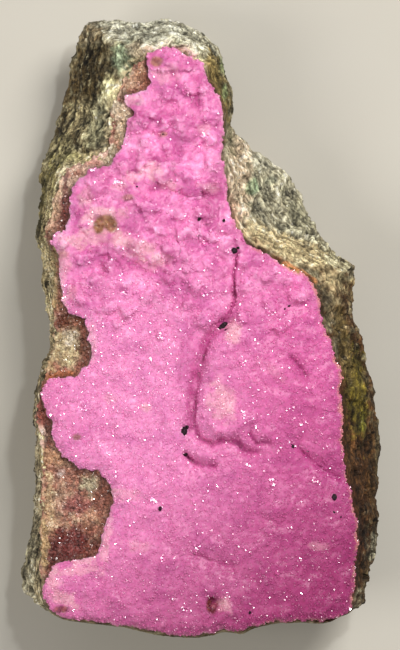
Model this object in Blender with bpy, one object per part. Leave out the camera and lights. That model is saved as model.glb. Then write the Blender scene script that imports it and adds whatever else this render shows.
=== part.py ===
"""Cobaltoan dolomite on its host rock, lying on its broken back.

A slab of grey-green, finely layered rock carries a thin layer of rusty brown druse along its
left side, and over both lies the pink crust of cobaltoan dolomite.
The crystal face looks up (+Z), the narrow end points to +Y, and the slab rests on z = 0.
Outlines and heights are in millimetres, seen from above, and become metres when a mesh is made.
"""

import math
import random

import bpy
import numpy as np
from mathutils import Vector, noise
from mathutils.geometry import delaunay_2d_cdt

MM = 0.001
GAP = 0.3  # between two pieces that lie on each other

FACE_HEIGHT = 29.5  # top of the rock under the middle of the crust
CRUST_RISE = 3.0  # top of the pink crust above the rock
DRUSE_RISE = 1.5  # top of the brown druse above the rock
LEAST_CRUST = 0.6  # thickness left at the bottom of a pit
EDGE_WIDTH = 2.2  # over this width a layer thins towards its broken edge

OUTLINE_STEP = 2.6
CRUST_STEP = 2.1
BARE_ROCK_SPACING = 2.35
HIDDEN_SPACING = 7.0
LUMP_PITCH = 3.3  # from one small lump of the crust to the next
LUMP_RISE = 0.85
CRYSTAL_REACH = (1.4, 2.8)  # half the long diagonal of a blocky crystal's foot
CRYSTAL_RISE = (0.34, 0.62)  # height of such a crystal for each millimetre of its reach
CRYSTAL_TOP = 0.62  # size of the crystal's flat top beside its foot
SHORT_DIAGONAL = 0.75  # of dolomite's rhombic faces, beside the long one
CRYSTAL_TRIES = 3000
SIDE_RING_DEPTHS = (0.14, 0.22, 0.45, 0.53, 0.78, 0.88, 1.0)  # shares of the way to the base
SIDE_RING_INSETS = (0.1, 1.8, 2.3, 4.2, 4.8, 6.6, 8.8)
LEDGE = 1.9  # how far the layers of the rock's sides stand in and out

# The whole slab seen from above, clockwise from the top left, with the height of its widest edge.
SLAB_EDGE = [
    (-28.5, 76.7, 19), (-25, 76.9, 20), (-21.2, 77.5, 20), (-16, 76.4, 21), (-12, 76.7, 20),
    (-8.7, 77.4, 19), (-4.7, 76.5, 19), (-0.5, 74, 19), (3.6, 70.9, 20), (5.7, 66.7, 19),
    (6.5, 63, 18), (7.7, 59.5, 20), (8, 54.7, 20), (7.2, 50.7, 21), (9.2, 48.5, 20),
    (14, 44, 18), (21.2, 39.2, 17), (24.9, 34, 16), (27, 27.9, 17), (30, 23.2, 19),
    (33.7, 18, 21), (38.6, 15.2, 24), (38.3, 10.2, 20), (38, 5, 17), (40.7, -3.2, 18),
    (41.5, -8.5, 15), (43.7, -14.5, 14), (44.2, -20.7, 15), (45.2, -28, 13), (45, -35.2, 14),
    (44.2, -42.5, 13), (44.9, -49.7, 14), (44, -57, 13), (42.5, -60.2, 15), (42, -65.5, 16),
    (41.2, -69.5, 18), (38.2, -71.2, 21), (37.1, -71.9, 24), (32.7, -73.9, 26), (26.2, -74.2, 26.5),
    (17.2, -74.6, 27), (13.5, -75.5, 27), (10.2, -77.1, 27), (5.2, -76.5, 27), (3.2, -77.3, 27),
    (-1.7, -78, 27), (-8.7, -77.5, 27), (-14.5, -76.5, 27), (-24.7, -74.6, 26.5), (-31.5, -74, 26),
    (-34.2, -73.6, 25), (-37.7, -72, 23), (-41.5, -70, 18), (-44.5, -66.5, 15), (-45.2, -62.7, 14),
    (-44.5, -58.2, 15), (-42.7, -51, 17), (-42.2, -42.5, 17), (-41.6, -35.2, 18), (-41.2, -28, 19),
    (-42.2, -23, 20), (-42, -17.7, 21), (-40.2, -12, 20), (-37.9, -5.7, 19), (-38.2, 1, 18),
    (-39.7, 9.2, 18), (-40.2, 15.5, 17), (-41.7, 22.2, 18), (-40.5, 30, 17), (-40.7, 37.2, 16),
    (-39.9, 41.7, 15), (-37.7, 46.5, 14), (-35.7, 53.7, 13), (-33.2, 62, 13), (-32.6, 68.2, 15),
    (-30.5, 74, 17),
]

# Crests and hollows of the bare rock between the slab's edge and the crust.
ROCK_CRESTS = [
    (-23.5, 72.5, 29), (-15, 71.7, 30.5), (-8, 72, 30.5), (-2, 70.6, 30), (2.8, 66.5, 28.5),
    (4.4, 62.5, 27.5), (6.6, 56.5, 27), (-24.5, 70, 29), (-20.2, 70.5, 30.5), (-21.5, 64, 30),
    (-25, 62, 27.5), (-24.5, 56, 29), (-28, 50.5, 27), (-30, 56, 21), (-29, 66, 22),
    (-26, 46.5, 28.5), (-34, 45, 22), (-36.5, 37, 24.5), (-38.4, 27, 25), (-39, 12, 25.5),
    (-37.6, 3, 25.5), (-41, -20, 25.5), (-40.8, -36, 25), (-41.2, -50, 25), (-42, -60, 22),
    (-41, -66, 24), (8.5, 44.5, 27.5), (14, 38, 25.5), (20, 34, 21.5), (11.5, 32, 27.5),
    (18, 26, 25), (24, 26, 20.5), (11.5, 22.7, 29.5), (17.5, 20.4, 29.5), (23, 18.6, 29.3),
    (30.5, 16, 28.8), (36.6, 14.3, 28.6), (35.9, 9, 27.6), (36.2, 4, 26.5), (37.6, -1, 24.8),
    (39.5, -7, 23), (38.6, -18, 24), (40.5, -30, 21), (41.2, -44, 20.5), (42, -54, 18.5),
    (40.7, -64, 22),
]

# The broken outline of the pink crust, clockwise from its tip.
CRUST_EDGE = [
    (-13.5, 65.2), (-13.6, 68.2), (-10.9, 69.8), (-6.7, 69.5), (-3.1, 67.2), (0.5, 66.2),
    (1.5, 62), (3.6, 59), (5.7, 54.2), (5.9, 49.6), (5.2, 44.5), (6.2, 38.2), (6.5, 32),
    (7.7, 27.9), (9.6, 23.7), (10.9, 21.7), (14, 19.5), (18.1, 17), (22.2, 14.5), (27, 12.5),
    (28.7, 9.2), (30, 3), (32.6, -4.2), (34.7, -10.5), (34.9, -17.7), (35.2, -26),
    (36.2, -35.2), (37.7, -43.6), (39.2, -49.7), (39, -56), (38.6, -63.2), (38, -69),
    (37, -71.2), (32.7, -73.1), (26.2, -73.4), (17.2, -73.8), (13.5, -74.6), (10.2, -76.2),
    (5.2, -75.6), (3.2, -76.4), (-1.7, -77.2), (-8.7, -76.6), (-14.5, -75.6), (-24.7, -73.8),
    (-31.5, -73.2), (-34.2, -72.8), (-37.2, -71), (-38.7, -69), (-39.5, -67), (-39, -63.2),
    (-37.7, -61.7), (-37.2, -59.7), (-32.1, -58.2), (-26, -57), (-24.9, -52), (-23.1, -47.2),
    (-22, -42.5), (-23.1, -39), (-26, -35.7), (-30.5, -35.7), (-34.7, -32.2), (-36.7, -29.1),
    (-37.2, -24), (-39.4, -20.2), (-39.9, -15.7), (-38.2, -13), (-31.5, -12.5), (-28, -9.5),
    (-28, -3.2), (-29, 2.5), (-33.2, 3), (-34.7, 7.2), (-35.7, 13.4), (-35.7, 17.2),
    (-37.5, 20.5), (-37.2, 23.5), (-33.7, 24), (-33, 27.9), (-32.6, 33), (-31, 36.7),
    (-27.5, 39.7), (-22.7, 40.7), (-20.2, 44.5), (-18.7, 49.2), (-18.5, 51.5), (-16.5, 53.7),
    (-19.2, 56), (-19.5, 58), (-17, 58.5), (-13.7, 59.2), (-12.2, 61.7), (-13.4, 63.7),
]

# The brown druse: its outer edge from the top down, then back up beneath the crust.
DRUSE_EDGE = [
    (-17.2, 65.2), (-19.2, 61.7), (-21, 58), (-22.2, 53.7), (-22.2, 49.2), (-23.2, 44.2),
    (-27.2, 42.2), (-32.2, 40.5), (-35.2, 37.2), (-36.7, 31.7), (-38, 25.5), (-38.6, 20.5),
    (-37.6, 14.2), (-36.9, 6.7), (-36.6, -0.7), (-37.1, -6.2), (-38.9, -11.2), (-40.8, -17),
    (-40.8, -22.7), (-39.7, -29.5), (-39.7, -37), (-40, -45.7), (-40.1, -54.5), (-40.3, -62),
    (-36.5, -64.5), (-28, -64), (-20, -58), (-16.5, -46), (-17, -37), (-24, -30), (-31, -24),
    (-33, -19), (-25, -17), (-21.5, -8), (-22.5, 2), (-29, 8), (-30, 14), (-27, 20),
    (-20, 20), (-18, 26), (-24, 33), (-17, 38), (-14, 47), (-12.5, 55), (-8, 60), (-9, 64.5),
    (-13, 67),
]

# Broad swells of the vein wall, which the crust follows: x, y, half-widths and height.
SWELLS = [
    (-20, 28, 14, 8, 2.2), (15, -12, 15, 17, 2.3), (-5, 38, 10, 4.5, 1.5), (-6, 63, 6, 5, 0.9),
    (-2, 52, 8, 6, 1.0), (-31.5, 21.5, 5, 3.5, 1.1), (-12, -60, 16, 8, 0.8), (6, -71, 7, 4, 0.9),
    (-16, -14, 14, 16, -0.7), (22, -50, 14, 12, 0.7),
]

# The lobe right of the long crease stands over it like a lip: its outline, the crease first.
LOBE = [
    (8.9, 25), (9, 19.2), (8.2, 13), (8.7, 6.7), (6.2, 1.2), (1.7, -2.7), (-0.5, -9.5),
    (-1.7, -17), (-2.2, -24.5), (-0.5, -27.7), (3.5, -29), (5.2, -28.2), (9.2, -29),
    (11, -31.2), (13.5, -31.2), (24, -28), (31, -14), (30, 4), (22, 18),
]
LOBE_CREASE_POINTS = 15
LIP_HEIGHT = 1.5
LIP_WIDTH = 9.0

# Creases of the crust: depth, half-width and path.
CREASES = [
    (1.3, 1.7, [(8.7, 23.7), (9, 19.2), (8.2, 13), (8.7, 6.7), (6.2, 1.2), (1.7, -2.7),
                (-0.5, -9.5), (-1.7, -17), (-2.2, -24.5), (-0.5, -27.7), (3.5, -29), (5.2, -28.2),
                (9.2, -29), (11, -31.2), (13.5, -31.2)]),
    (1.4, 1.1, [(12.2, -26.8), (13.7, -29), (16.7, -29)]),
    (1.4, 1.1, [(-3.5, -32.2), (-1.5, -33.7), (1, -34.7), (3.5, -34.7)]),
    (1.3, 2.0, [(24.2, -30), (26.7, -32.7), (30.2, -35.7), (35, -38)]),
    (1.0, 1.3, [(22.5, -7.7), (24.7, -10.2), (26, -12.2)]),
    (1.6, 1.8, [(-12.7, 34.2), (-9, 34.7), (-4, 32.7), (3.5, 32.5)]),
    (1.7, 2.6, [(-32.2, 30), (-30.7, 25), (-27.2, 21), (-22.7, 19.7), (-18.2, 16.2),
                (-12.7, 13.7)]),
    (0.9, 1.6, [(-1, -57), (4, -58.7), (8, -60)]),
]

# Pits through or into the crust: x, y, radius and depth.
PITS = [
    (-24.2, 25.8, 2.6, 1.7), (-21.2, 25.2, 1.9, 1.4), (3.6, -69.6, 2.1, 1.9),
    (-35.6, -69.2, 1.8, 0.9), (-12, 66, 1.3, 0.8), (5.7, 0.5, 1.2, 0.9), (-4, -25.7, 1.3, 0.6),
    (-3.7, -31.7, 1.1, 0.8),
]

CENTRE_LINE = [(0, -50), (-2, -10), (-10, 25), (-12, 58)]  # inward from the slab's edge
BLOCKY_ABOVE = 8.0  # beyond this y larger, blocky crystals stand out of the crust


def smooth_step(share):
    """0 below 0, 1 above 1 and a smooth S between."""
    share = np.clip(share, 0.0, 1.0)
    return share * share * (3 - 2 * share)


def path_distance(path, x, y):
    """How far (x, y) is from an open path."""
    point = np.array((x, y), float)
    start = np.array([p[:2] for p in path[:-1]], float)
    run = np.array([p[:2] for p in path[1:]], float) - start
    along = np.clip(((point - start) * run).sum(1) / (run * run).sum(1), 0, 1)
    return float(np.linalg.norm(start + run * along[:, None] - point, axis=1).min())


def edge_distance(loop, x, y):
    """How far (x, y) is from a closed outline."""
    return path_distance(list(loop) + [loop[0]], x, y)


def inside(loop, x, y):
    """Whether (x, y) lies within a closed outline."""
    corners = np.array([p[:2] for p in loop], float)
    following = np.roll(corners, -1, axis=0)
    crosses = (corners[:, 1] > y) != (following[:, 1] > y)
    rise = following[:, 1] - corners[:, 1]
    rise[rise == 0] = 1.0
    reach = corners[:, 0] + (y - corners[:, 1]) / rise * (following[:, 0] - corners[:, 0])
    return bool((crosses & (x < reach)).sum() % 2)


def broken_outline(loop, step, roughness, seed):
    """The outline with points about a step apart, those between its corners broken a little."""
    draw = random.Random(seed)
    points = []
    for start, end in zip(loop, loop[1:] + loop[:1]):
        start, end = np.array(start, float), np.array(end, float)
        points.append(start)
        pieces = max(1, round(float(np.linalg.norm(end[:2] - start[:2])) / step))
        for i in range(1, pieces):
            point = start + (end - start) * i / pieces
            point[:2] += [draw.uniform(-roughness, roughness) for _ in range(2)]
            points.append(point)
    return points


def scatter(loop, spacing, clearance, seed):
    """Points of a shaken honeycomb inside an outline, clear of its edge."""
    draw = random.Random(seed)
    corners = np.array([p[:2] for p in loop], float)
    low, high = corners.min(0), corners.max(0)
    points = []
    for row in range(int((high[1] - low[1]) / (spacing * 0.866)) + 1):
        for column in range(int((high[0] - low[0]) / spacing) + 1):
            x = low[0] + (column + 0.5 * (row % 2)) * spacing + draw.uniform(-0.27, 0.27) * spacing
            y = low[1] + row * spacing * 0.866 + draw.uniform(-0.27, 0.27) * spacing
            if inside(loop, x, y) and edge_distance(loop, x, y) > clearance:
                points.append((x, y))
    return points


def triangulate(loops, points, paths=()):
    """Delaunay triangles through points, keeping closed loops and open paths as edges.

    It also gives, for each corner, its place among the loops', paths' and points' own corners."""
    corners, edges = [], []
    for loop in loops:
        first = len(corners)
        corners += [Vector(p[:2]) for p in loop]
        edges += [(first + i, first + (i + 1) % len(loop)) for i in range(len(loop))]
    for path in paths:
        first = len(corners)
        corners += [Vector(p[:2]) for p in path]
        edges += [(first + i, first + i + 1) for i in range(len(path) - 1)]
    corners += [Vector(p[:2]) for p in points]
    made = delaunay_2d_cdt(corners, edges, [], 0, 1e-5)
    flat = [(v.x, v.y) for v in made[0]]
    places = [min(place, default=-1) for place in made[3]]
    return flat, [turned_up(flat, face) for face in made[2]], places


def turned_up(flat, face):
    """The triangle's corners in the order that faces up."""
    (ax, ay), (bx, by), (cx, cy) = (flat[i] for i in face)
    up = (bx - ax) * (cy - ay) - (by - ay) * (cx - ax) > 0
    return tuple(face) if up else tuple(reversed(face))


def triangles_inside(flat, faces, loop):
    """The triangles whose middle lies within an outline."""
    kept = []
    for face in faces:
        x = sum(flat[i][0] for i in face) / 3
        y = sum(flat[i][1] for i in face) / 3
        if inside(loop, x, y):
            kept.append(face)
    return kept


def border_of(faces):
    """The border of a patch of triangles, as vertex numbers in order."""
    edges = {(f[i], f[(i + 1) % 3]) for f in faces for i in range(3)}
    after = {a: b for a, b in edges if (b, a) not in edges}
    start = min(after)
    border, current = [start], after[start]
    while current != start:
        border.append(current)
        current = after[current]
    return border


def swell_height(x, y):
    total = 0.0
    for cx, cy, half_x, half_y, height in SWELLS:
        total += height * math.exp(-((x - cx) / half_x) ** 2 - ((y - cy) / half_y) ** 2)
    return total


def vein_wall(x, y):
    """Height of the rock's front, where the crystals took root: a low dome with broad swells."""
    dome = 2.2 * ((x + 4) / 45) ** 2 + 1.6 * ((y + 8) / 75) ** 2
    fall = 2.2 * smooth_step((x - 8) / 34) * smooth_step((-y - 12) / 60)
    return float(FACE_HEIGHT - dome - fall + swell_height(x, y))


def chipped(x, y):
    """Flat chips of the bare rock, each a little higher or lower than those around it."""
    _, middles = noise.voronoi(Vector((x * 0.15, y * 0.15, 0.5)))
    return noise.cell(middles[0] * 9.0)


def layered(x, y, z):
    """Small relief of the rock, which is stretched along its layers."""
    return noise.fractal(Vector((x * 0.16, y * 0.16, z * 0.7)), 0.6, 2.1, 3)


class BrokenRock:
    """The bare rock around the crust: flat broken facets between crests and edges."""

    def __init__(self):
        corners = list(SLAB_EDGE) + list(ROCK_CRESTS)
        corners += [(x, y, vein_wall(x, y) + 0.7) for x, y in CRUST_EDGE]
        corners += [(x, y, vein_wall(x, y) + 0.9) for x, y in DRUSE_EDGE]
        _, faces, _ = triangulate([], corners)
        self.corners = np.array(corners, float)
        self.faces = np.array(faces)

    def height(self, x, y):
        a, b, c = (self.corners[self.faces[:, i]] for i in range(3))
        area = (b[:, 0] - a[:, 0]) * (c[:, 1] - a[:, 1]) - (b[:, 1] - a[:, 1]) * (c[:, 0] - a[:, 0])
        area[np.abs(area) < 1e-9] = 1e-9
        u = ((x - a[:, 0]) * (c[:, 1] - a[:, 1]) - (y - a[:, 1]) * (c[:, 0] - a[:, 0])) / area
        v = ((b[:, 0] - a[:, 0]) * (y - a[:, 1]) - (b[:, 1] - a[:, 1]) * (x - a[:, 0])) / area
        home = int(np.argmax(np.minimum(np.minimum(u, v), 1 - u - v)))
        z = a[home, 2] + u[home] * (b[home, 2] - a[home, 2]) + v[home] * (c[home, 2] - a[home, 2])
        return float(z + 0.9 * layered(x, y, z) + 0.8 * chipped(x, y))


def crease_depth(x, y):
    total = 0.0
    for depth, half_width, path in CREASES:
        away = path_distance(path, x, y)
        total = max(total, depth * math.exp(-((away / half_width) ** 2)))
    return total


def lip_height(x, y):
    """The lobe's edge stands up steeply from the crease and sinks slowly away from it."""
    if not inside(LOBE, x, y):
        return 0.0
    away = path_distance(LOBE[:LOBE_CREASE_POINTS], x, y)
    rise = float(smooth_step((away - 0.2) / 1.1))
    return LIP_HEIGHT * rise * math.exp(-((away / LIP_WIDTH) ** 2))


def pit_depth(x, y):
    total = 0.0
    for cx, cy, radius, depth in PITS:
        away = math.hypot(x - cx, y - cy)
        total = max(total, depth * float(smooth_step((radius * 1.25 - away) / (radius * 0.7))))
    return total


def crust_top(x, y, crust):
    """Height of the pink crust: the vein wall, thinned at the broken edge, creased and lumpy."""
    rounding = smooth_step(edge_distance(crust, x, y) / EDGE_WIDTH)
    lump_size = 0.45 + 0.55 * float(smooth_step((y - BLOCKY_ABOVE + 6) / 12))
    lumps = lump_size * noise.fractal(Vector((x * 0.17, y * 0.17, 3.1)), 0.8, 2.0, 3)
    hollows = min(2.1, crease_depth(x, y) + pit_depth(x, y))
    relief = lumps + lip_height(x, y) - hollows
    return vein_wall(x, y) + CRUST_RISE - 0.6 * (1 - rounding) + rounding * relief


def druse_top(x, y, druse, crust):
    """Height of the brown druse, which sinks into bays where the crust has broken away."""
    rounding = smooth_step(edge_distance(druse, x, y) / 2.0)
    rise = 0.4 + (DRUSE_RISE - 0.4) * rounding
    if inside(crust, x, y):
        return vein_wall(x, y) + rise
    lumps = 0.7 * noise.fractal(Vector((x * 0.3, y * 0.3, 8.7)), 0.8, 2.0, 3)
    return vein_wall(x, y) + rise + rounding * lumps - bay_depth(x, y, druse, crust)


def bay_depth(x, y, druse, crust):
    """How far the rock under the bare druse lies below the vein wall."""
    if inside(crust, x, y) or not inside(druse, x, y):
        return 0.0
    clear = min(edge_distance(crust, x, y), edge_distance(druse, x, y))
    return 1.7 * float(smooth_step(clear / 3.5))


def mesh_object(name, points, faces, material):
    """One object from points in millimetres."""
    mesh = bpy.data.meshes.new(name)
    mesh.from_pydata([(x * MM, y * MM, z * MM) for x, y, z in points], [], faces)
    mesh.validate()
    mesh.materials.append(material)
    made = bpy.data.objects.new(name, mesh)
    bpy.context.scene.collection.objects.link(made)
    return made


def stone_material(name, colour, roughness):
    material = bpy.data.materials.new(name)
    material.use_nodes = True
    shader = material.node_tree.nodes["Principled BSDF"]
    shader.inputs["Base Color"].default_value = (*colour, 1)
    shader.inputs["Roughness"].default_value = roughness
    shader.inputs["Metallic"].default_value = 0.0
    return material


def patch_between(flat, lower, bottom, upper_points, upper_faces):
    """A closed layer: lower triangles, upper triangles and a wall around their common border.

    flat and lower are the shared triangulation, and bottom holds a height for each of its corners."""
    used = sorted({i for face in lower for i in face})
    number = {v: i for i, v in enumerate(used)}
    points = [(*flat[v], bottom[v]) for v in used]
    faces = [tuple(number[i] for i in reversed(face)) for face in lower]
    first = len(points)
    points += upper_points
    faces += [tuple(first + i for i in face) for face in upper_faces]
    low_border = [number[i] for i in border_of(lower)]
    high_border = [first + i for i in border_of(upper_faces)]
    start = min(
        range(len(high_border)),
        key=lambda i: math.dist(points[high_border[i]][:2], points[low_border[0]][:2]),
    )
    high_border = high_border[start:] + high_border[:start]
    for i in range(len(low_border)):
        j = (i + 1) % len(low_border)
        faces.append((low_border[i], low_border[j], high_border[j]))
        faces.append((low_border[i], high_border[j], high_border[i]))
    return points, faces


def kept_corners(points, faces):
    """Only the corners that the faces use, and the faces renumbered to them."""
    used = sorted({i for face in faces for i in face})
    number = {v: i for i, v in enumerate(used)}
    return [points[v] for v in used], [tuple(number[i] for i in face) for face in faces]


def blocky_crystals(crust, seed):
    """Where rhombs stand out of the crust's narrow part: x, y and reach, the largest first."""
    draw = random.Random(seed)
    reaches = sorted((draw.uniform(*CRYSTAL_REACH) for _ in range(CRYSTAL_TRIES)), reverse=True)
    taken = []
    for reach in reaches:
        x, y = draw.uniform(-38, 30), draw.uniform(BLOCKY_ABOVE - 10, 70)
        wanted = smooth_step((y - BLOCKY_ABOVE + 10) / 16)
        if draw.random() > wanted or not inside(crust, x, y):
            continue
        room = [edge_distance(crust, x, y) - 0.4]
        room += [path_distance(line, x, y) - 0.3 for _, _, line in CREASES]
        room += [math.dist((x, y), pit[:2]) - 1.25 * pit[2] - 0.2 for pit in PITS]
        room += [math.dist((x, y), other[:2]) - 0.95 * other[2] for other in taken]
        if min(room) > reach:
            taken.append((x, y, reach))
    return taken


def crystal_corners(x, y, reach, draw):
    """A rhomb that leans a little: its flat top's four corners and its feet, as (x, y, rise)."""
    turn, way = draw.uniform(0, math.tau), draw.uniform(0, math.tau)
    lean, rise = draw.uniform(0.0, 0.4), reach * draw.uniform(*CRYSTAL_RISE)
    corners = []
    for corner in range(4):
        angle = turn + corner * math.tau / 4
        length = reach * (SHORT_DIAGONAL if corner % 2 else 1.0)
        out_x, out_y = length * math.cos(angle), length * math.sin(angle)
        tilt = lean * CRYSTAL_TOP * (out_x * math.cos(way) + out_y * math.sin(way))
        corners.append((x + CRYSTAL_TOP * out_x, y + CRYSTAL_TOP * out_y, rise + tilt))
        corners.append((x + out_x, y + out_y, 0.0))
    return corners


def pit_corners():
    """The middle of each pit with a ring around its floor and one on its rim, as (x, y, rise)."""
    corners = []
    for x, y, radius, _ in PITS:
        corners.append((x, y, 0.0))
        for share in (0.55, 1.25):
            for step in range(6):
                angle = (step + share) * math.tau / 6
                out = share * radius
                corners.append((x + out * math.cos(angle), y + out * math.sin(angle), 0.0))
    return corners


def crust_corners(crust, keep_away, seed):
    """Corners of the crust's top as (x, y, rise): the blocky crystals, then lumps between them."""
    draw = random.Random(seed)
    crystals = blocky_crystals(crust, seed + 1)
    corners = []
    for x, y, reach in crystals:
        corners += crystal_corners(x, y, reach, draw)
    taken = crystals + [(x, y, 1.25 * radius) for x, y, radius, _ in PITS]
    for x, y in clear_of(scatter(crust, LUMP_PITCH, 1.4, seed), keep_away, 1.0):
        if all(math.dist((x, y), other[:2]) > other[2] + 0.5 for other in taken):
            corners.append((x, y, draw.uniform(0.0, LUMP_RISE)))
    return corners


def crease_lines(crust):
    """The floor of each crease as a line of points, so that it is a sharp valley."""
    lines = []
    for _, _, path in CREASES:
        line = [p for p in path if inside(crust, *p) and edge_distance(crust, *p) > 0.8]
        lines.append(line)
    return lines


def clear_of(points, keep_away, distance):
    """The points that keep a distance from every one of a set of others."""
    others = np.array([p[:2] for p in keep_away], float)
    return [p for p in points if np.linalg.norm(others - p[:2], axis=1).min() > distance]


def side_rings(border):
    """Rings of points from the slab's widest edge down to its base, stepped like its layers."""
    inward = [toward_centre(x, y) for x, y, _ in border]
    rings = []
    for level, (depth, inset) in enumerate(zip(SIDE_RING_DEPTHS, SIDE_RING_INSETS)):
        ring = []
        for (x, y, z), direction in zip(border, inward):
            block = noise.noise(Vector((x * 0.06 + 5 * (level // 2), y * 0.06, 4.0 * (level // 2))))
            chip = 1.3 * noise.noise(Vector((x * 0.19 + 7, y * 0.19, depth * 6)))
            shift = max(0.1, inset + LEDGE * block + chip)
            tilt = 1.6 * noise.noise(Vector((x * 0.07, y * 0.07, 9.0 * (level // 2) + 4)))
            height = z * (1 - depth) + (tilt if depth < 0.8 else 0.0)
            ring.append((x + direction[0] * shift, y + direction[1] * shift, height))
        rings.append([tuple(p) for p in evened(np.array(ring), level)])
    return rings


def evened(ring, rounds):
    """A closed ring of rows, each averaged with its neighbours a number of times."""
    for _ in range(rounds):
        ring = (np.roll(ring, 1, axis=0) + 2 * ring + np.roll(ring, -1, axis=0)) / 4
    return ring


def toward_centre(x, y):
    """Unit direction from a point of the edge to the slab's centre line."""
    across, along = zip(*CENTRE_LINE)
    level = min(max(y, along[0]), along[-1])
    run = np.array((np.interp(level, along, across) - x, level - y))
    return run / np.linalg.norm(run)


def build_rock(flat, faces, heights):
    """The host rock: its front, its stepped sides and the flat broken back it rests on."""
    points = [(x, y, z) for (x, y), z in zip(flat, heights)]
    made = list(faces)
    border = border_of(faces)
    previous = border
    for ring in side_rings([points[i] for i in border]):
        numbers = list(range(len(points), len(points) + len(ring)))
        points += ring
        for i in range(len(ring)):
            j = (i + 1) % len(ring)
            made.append((previous[i], numbers[i], numbers[j]))
            made.append((previous[i], numbers[j], previous[j]))
        previous = numbers
    base = [points[i][:2] for i in previous]
    base_flat, base_faces, places = triangulate([base], [])
    for face in triangles_inside(base_flat, base_faces, base):
        made.append(tuple(previous[places[i]] for i in reversed(face)))
    return points, made


def clear_scene():
    for item in list(bpy.data.objects):
        bpy.data.objects.remove(item)


def centre_on_base(objects):
    """Moves every mesh so that the middle of the slab's footprint box is the origin."""
    corners = np.array([v.co for item in objects for v in item.data.vertices])
    middle = (corners.min(0) + corners.max(0)) / 2
    for item in objects:
        for vertex in item.data.vertices:
            vertex.co.x -= middle[0]
            vertex.co.y -= middle[1]
            vertex.co.z -= corners.min(0)[2]


def main():
    clear_scene()
    slab = broken_outline(SLAB_EDGE, OUTLINE_STEP, 0.25, seed=3)
    crust_line = broken_outline(CRUST_EDGE, CRUST_STEP, 0.38, seed=5)
    druse_line = broken_outline(DRUSE_EDGE, 3.2, 0.2, seed=7)
    broken_rock = BrokenRock()

    bare = [p for p in scatter(slab, BARE_ROCK_SPACING, 1.0, seed=11) if not inside(crust_line, *p)]
    bare = [
        p for p in bare
        if edge_distance(crust_line, *p) > 1.0 and edge_distance(druse_line, *p) > 1.0
    ]
    hidden = clear_of(scatter(crust_line, HIDDEN_SPACING, 3.5, seed=13), druse_line, 2.5)
    flat, faces, places = triangulate([slab, crust_line, druse_line], bare + hidden)
    faces = triangles_inside(flat, faces, slab)
    crust_floor = triangles_inside(flat, faces, crust_line)
    druse_floor = triangles_inside(flat, faces, druse_line)
    under_crust = {i for face in crust_floor for i in face}
    under_druse = {i for face in druse_floor for i in face}

    rock_heights, druse_heights, crust_undersides = [], [], []
    for i, (x, y) in enumerate(flat):
        if 0 <= places[i] < len(slab):
            rock = float(slab[places[i]][2])
        elif i in under_druse:
            rock = vein_wall(x, y) - bay_depth(x, y, druse_line, crust_line)
        elif i in under_crust:
            rock = vein_wall(x, y)
        else:
            rock = broken_rock.height(x, y)
        druse = druse_top(x, y, druse_line, crust_line) + GAP
        rock_heights.append(rock)
        druse_heights.append(druse)
        crust_undersides.append((druse if i in under_druse else rock) + GAP)

    rock_body = build_rock(flat, faces, rock_heights)
    druse_body = patch_between(
        flat,
        druse_floor,
        [z + GAP for z in rock_heights],
        *kept_corners([(x, y, z) for (x, y), z in zip(flat, druse_heights)], druse_floor),
    )

    border = [flat[i] for i in border_of(crust_floor)]
    creases = crease_lines(crust_line)
    fixed = [p for line in creases for p in line]
    corners = crust_corners(crust_line, fixed, seed=17) + pit_corners()
    corners = [
        p for p in corners if inside(border, *p[:2]) and edge_distance(border, *p[:2]) > 0.5
    ]
    upper, upper_faces, places = triangulate([border], corners, creases)
    upper_faces = triangles_inside(upper, upper_faces, border)
    before = len(border) + sum(len(line) for line in creases)
    crust_points = []
    for (x, y), place in zip(upper, places):
        rise = corners[place - before][2] if place >= before else 0.0
        floor = vein_wall(x, y) + GAP
        if inside(druse_line, x, y) or edge_distance(druse_line, x, y) < 2.0:
            floor += DRUSE_RISE + GAP
        top = max(crust_top(x, y, crust_line) + rise, floor + LEAST_CRUST)
        crust_points.append((x, y, top))
    crust_body = patch_between(flat, crust_floor, crust_undersides, crust_points, upper_faces)

    grey_green = stone_material("host_rock", (0.25, 0.22, 0.15), 0.75)
    rust_brown = stone_material("brown_druse", (0.33, 0.16, 0.10), 0.5)
    pink = stone_material("pink_dolomite", (0.78, 0.22, 0.47), 0.35)
    pieces = [
        mesh_object("host_rock", *rock_body, grey_green),
        mesh_object("brown_druse", *druse_body, rust_brown),
        mesh_object("pink_dolomite_crust", *crust_body, pink),
    ]
    centre_on_base(pieces)


main()
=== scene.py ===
"""The looks of the cobaltoan dolomite specimen: its rock, brown druse and pink crystal crust.

Each layer is a finer copy of its solid: the mesh is cut finer, its facets are eased and it is
given relief and colour by functions of place. Small rhombs of dolomite then stand on both druses.
Lengths are in millimetres until a mesh is made. Places on the slab's face are given in the
picture's pixels, four to a millimetre, and turned into millimetres by place.
"""

import math

import bpy
import numpy as np
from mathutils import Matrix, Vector

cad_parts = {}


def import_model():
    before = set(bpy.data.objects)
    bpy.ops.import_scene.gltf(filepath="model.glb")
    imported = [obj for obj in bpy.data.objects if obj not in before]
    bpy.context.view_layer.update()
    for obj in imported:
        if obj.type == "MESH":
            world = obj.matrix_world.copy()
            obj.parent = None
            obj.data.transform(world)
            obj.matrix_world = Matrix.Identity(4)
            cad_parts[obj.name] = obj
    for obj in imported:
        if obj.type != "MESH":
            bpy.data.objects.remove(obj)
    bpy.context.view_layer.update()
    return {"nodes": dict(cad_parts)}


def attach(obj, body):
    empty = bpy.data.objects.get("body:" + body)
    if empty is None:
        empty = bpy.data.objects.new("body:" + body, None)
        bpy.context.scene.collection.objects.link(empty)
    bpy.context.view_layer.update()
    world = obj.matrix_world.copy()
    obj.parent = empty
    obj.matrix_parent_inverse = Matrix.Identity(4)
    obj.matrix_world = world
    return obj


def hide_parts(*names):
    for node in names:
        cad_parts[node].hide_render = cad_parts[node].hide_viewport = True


MM = 0.001
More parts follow.
